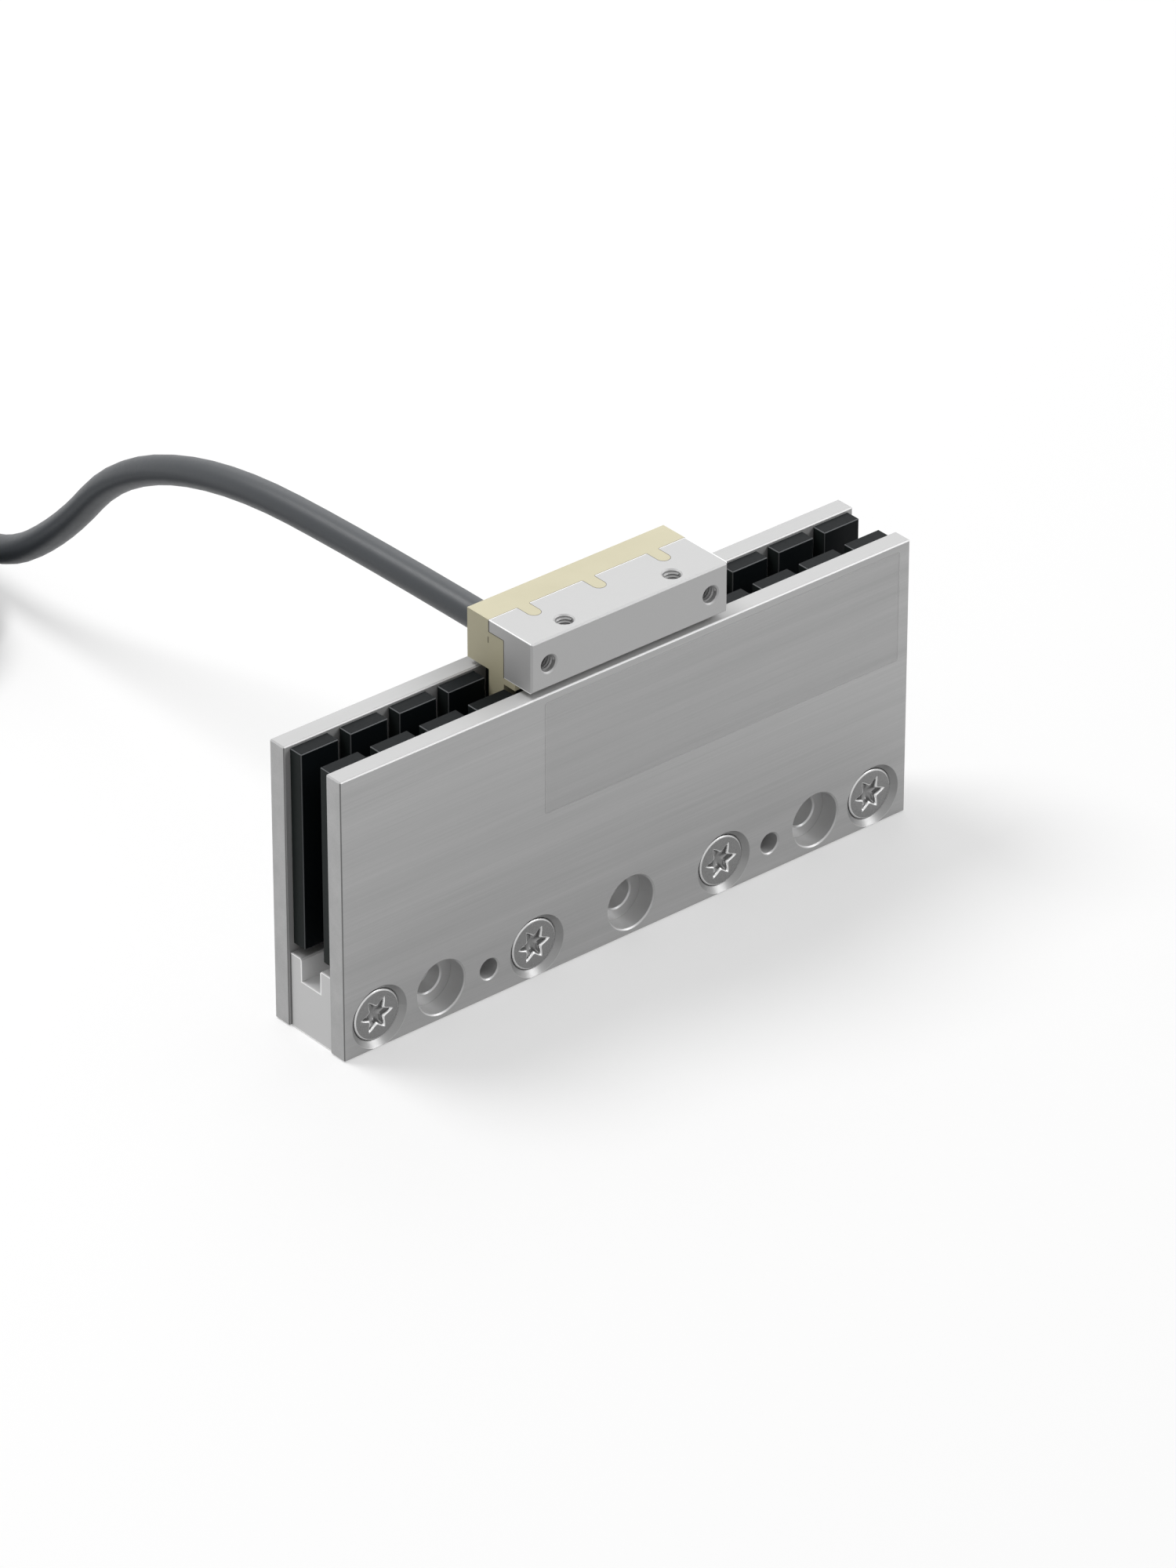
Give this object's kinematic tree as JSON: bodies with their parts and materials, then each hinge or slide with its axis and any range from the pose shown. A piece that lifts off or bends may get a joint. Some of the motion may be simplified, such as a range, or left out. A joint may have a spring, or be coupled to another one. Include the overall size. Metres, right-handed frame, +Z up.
{
  "type": "ironless linear motor",
  "caption": "U-shaped magnet yoke with a flat epoxy coil unit that slides along its gap, and a flying cable with bare lead ends.",
  "frame": {"origin": "middle of the yoke's underside, midway between the two plates", "axes": "+X along the travel, away from the end beside which the cable leaves; -Y out of the front plate, the side of the coil unit's aluminium bar; +Z up, out of the yoke's open side"},
  "size_m": [0.1325, 0.1718, 0.0514],
  "materials": {
    "plate_steel": "nickel-plated steel, fine grind along the length",
    "base_aluminium": "fine satin",
    "magnet_coat": "satin black epoxy coat",
    "screw_steel": "plain bright steel",
    "bar_aluminium": "fine bead-blasted satin",
    "epoxy": "cast resin, satin",
    "copper_wire": "enamelled wire",
    "board_laminate": "solder mask",
    "sensor_case": "moulded case",
    "bushing_rubber": "matt",
    "cable_jacket": "satin jacket",
    "tie_nylon": "satin",
    "shrink_sleeve": "satin",
    "lead_insulation": "smooth",
    "tinned_copper": "bright tin"
  },
  "bodies": {
    "yoke": {"front_plate": "plate_steel", "rear_plate": "plate_steel", "base_bar": "base_aluminium", "front_magnet_01": "magnet_coat", "front_magnet_02": "magnet_coat", "front_magnet_03": "magnet_coat", "front_magnet_04": "magnet_coat", "front_magnet_05": "magnet_coat", "front_magnet_06": "magnet_coat", "front_magnet_07": "magnet_coat", "front_magnet_08": "magnet_coat", "front_magnet_09": "magnet_coat", "front_magnet_10": "magnet_coat", "front_magnet_11": "magnet_coat", "front_magnet_12": "magnet_coat", "rear_magnet_01": "magnet_coat", "rear_magnet_02": "magnet_coat", "rear_magnet_03": "magnet_coat", "rear_magnet_04": "magnet_coat", "rear_magnet_05": "magnet_coat", "rear_magnet_06": "magnet_coat", "rear_magnet_07": "magnet_coat", "rear_magnet_08": "magnet_coat", "rear_magnet_09": "magnet_coat", "rear_magnet_10": "magnet_coat", "rear_magnet_11": "magnet_coat", "rear_magnet_12": "magnet_coat", "front_screws": "screw_steel", "rear_screws": "screw_steel"},
    "coil_unit": {"mounting_bar": "bar_aluminium", "epoxy_body": "epoxy", "winding_u": "copper_wire", "winding_v": "copper_wire", "winding_w": "copper_wire", "wiring_board": "board_laminate", "temperature_sensor": "sensor_case", "cable_bushing": "bushing_rubber", "cable": "cable_jacket", "cable_coil": "cable_jacket", "cable_tail": "cable_jacket", "cable_tie": "tie_nylon", "end_sleeve": "shrink_sleeve", "lead_wires": "lead_insulation", "lead_ferrules": "tinned_copper"}
  },
  "joints": [
    {"name": "coil_slide", "type": "slide", "parent": "yoke", "child": "coil_unit", "axis": [1, 0, 0], "range_m": [-0.0323, 0.0327]}
  ]
}
